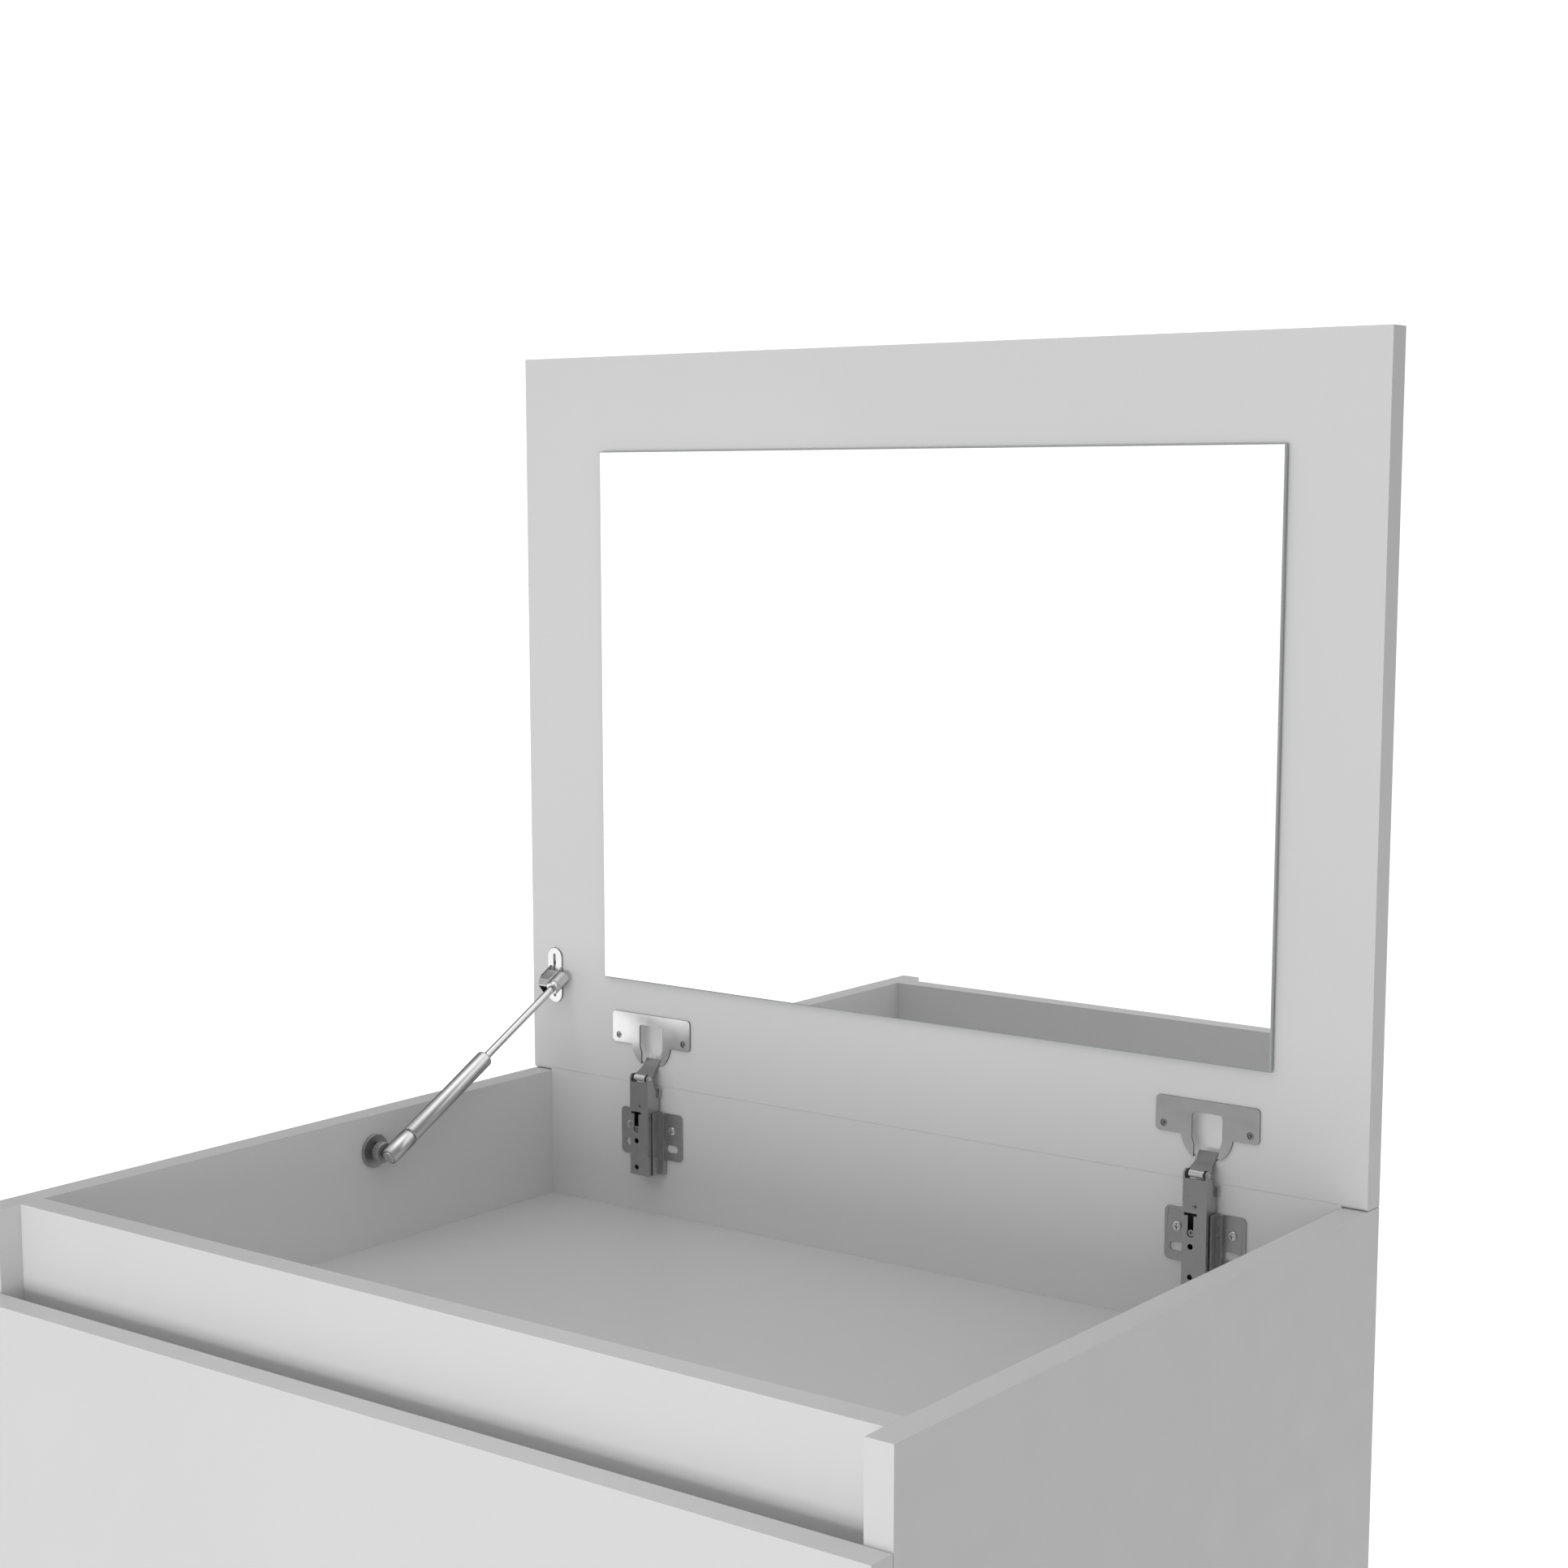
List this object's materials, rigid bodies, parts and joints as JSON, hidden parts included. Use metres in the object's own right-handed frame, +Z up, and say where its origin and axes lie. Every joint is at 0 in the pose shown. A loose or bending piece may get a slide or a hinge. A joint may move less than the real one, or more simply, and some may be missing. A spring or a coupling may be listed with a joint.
{
  "type": "vanity table with flip-up mirror",
  "caption": "White flat-panel vanity table with a hinged lid that carries a mirror, a shallow tray below it, a gas strut, a full-width drawer and an open knee space.",
  "frame": {"origin": "on the floor, below the middle of the box round the table with its lid open", "axes": "+Z up, front (drawer and user side) towards -Y, +X to the right of a person who sits at the table"},
  "size_m": [0.6, 0.467, 1.199],
  "materials": {
    "white_laminate": "matte",
    "mirror_silver": "gloss",
    "foam_tape": "matte",
    "nickel_steel": "satin",
    "dark_nickel": "satin",
    "bright_steel": "polished",
    "runner_steel": "satin",
    "black_plastic": "matte",
    "beech": "raw",
    "white_hardboard": "matte"
  },
  "bodies": {
    "carcass": {"side_panel_left": "white_laminate", "side_panel_right": "white_laminate", "back_panel": "white_laminate", "tray_floor": "white_laminate", "front_rail": "white_laminate", "lower_rear_rail": "white_laminate", "foot_glides": "black_plastic", "cam_locks": "nickel_steel", "cam_bolts": "nickel_steel", "wooden_dowels": "beech", "hinge_pins": "bright_steel", "hinge_arm_left": "dark_nickel", "hinge_arm_right": "dark_nickel", "hinge_plate_left": "dark_nickel", "hinge_plate_right": "dark_nickel", "hinge_plate_screws": "nickel_steel", "hinge_adjusting_screws": "nickel_steel", "strut_wall_stud": "dark_nickel", "strut_wall_screws": "nickel_steel", "runner_outer_left": "runner_steel", "runner_outer_right": "runner_steel", "runner_screws": "nickel_steel"},
    "lid": {"lid_panel": "white_laminate", "mirror_glass": "mirror_silver", "mirror_tape": "foam_tape", "hinge_cup_left": "nickel_steel", "hinge_cup_right": "nickel_steel", "hinge_cup_screws": "nickel_steel", "strut_lid_bracket": "nickel_steel", "strut_lid_screws": "nickel_steel"},
    "link_left": {"hinge_link_left": "dark_nickel"},
    "link_right": {"hinge_link_right": "dark_nickel"},
    "strut_rod": {"strut_rod": "bright_steel", "strut_piston": "black_plastic", "strut_upper_clip": "nickel_steel"},
    "strut_barrel": {"strut_tube": "nickel_steel", "strut_lower_fitting": "nickel_steel", "strut_guide": "black_plastic"},
    "drawer": {"drawer_front": "white_laminate", "drawer_side_left": "white_laminate", "drawer_side_right": "white_laminate", "drawer_back": "white_laminate", "drawer_bottom": "white_hardboard", "drawer_cam_locks": "nickel_steel", "drawer_cam_bolts": "nickel_steel", "drawer_back_screws": "nickel_steel", "runner_inner_left": "runner_steel", "runner_inner_right": "runner_steel", "drawer_runner_screws": "nickel_steel"},
    "runner_middle_left": {"runner_middle_left": "runner_steel"},
    "runner_middle_right": {"runner_middle_right": "runner_steel"}
  },
  "joints": [
    {"name": "lid_hinge", "type": "hinge", "parent": "carcass", "child": "lid", "pos_m": [0, 0.222, 0.741], "axis": [1, 0, 0], "range_deg": [0, 90], "stiffness_Nm_per_rad": 5, "springref_deg": -11.46},
    {"name": "hinge_link_left_pivot", "type": "hinge", "parent": "carcass", "child": "link_left", "pos_m": [-0.1975, 0.2072, 0.7435], "axis": [1, 0, 0], "range_deg": [0, 140.5]},
    {"name": "hinge_link_right_pivot", "type": "hinge", "parent": "carcass", "child": "link_right", "pos_m": [0.204, 0.2072, 0.7435], "axis": [1, 0, 0], "range_deg": [0, 140.5]},
    {"name": "strut_rod_pivot", "type": "hinge", "parent": "lid", "child": "strut_rod", "pos_m": [-0.2695, 0.2109, 0.7984], "axis": [1, 0, 0], "range_deg": [-110.5, 0]},
    {"name": "strut_stroke", "type": "slide", "parent": "strut_rod", "child": "strut_barrel", "axis": [0, 0.8743, 0.4853], "range_m": [0, 0.068]},
    {"name": "drawer_slide", "type": "slide", "parent": "carcass", "child": "drawer", "axis": [0, -1, 0], "range_m": [0, 0.33]},
    {"name": "runner_left_stage", "type": "slide", "parent": "carcass", "child": "runner_middle_left", "axis": [0, -1, 0], "range_m": [0, 0.166]},
    {"name": "runner_right_stage", "type": "slide", "parent": "carcass", "child": "runner_middle_right", "axis": [0, -1, 0], "range_m": [0, 0.166]}
  ],
  "couplings": [
    {"joint": "hinge_link_left_pivot", "follows": "lid_hinge", "ratio": 1.5556},
    {"joint": "hinge_link_right_pivot", "follows": "lid_hinge", "ratio": 1.5556},
    {"joint": "strut_rod_pivot", "follows": "lid_hinge", "ratio": -1.2221},
    {"joint": "strut_stroke", "follows": "lid_hinge", "m_per_rad": 0.042736},
    {"joint": "runner_left_stage", "follows": "drawer_slide", "ratio": 0.5},
    {"joint": "runner_right_stage", "follows": "drawer_slide", "ratio": 0.5}
  ]
}
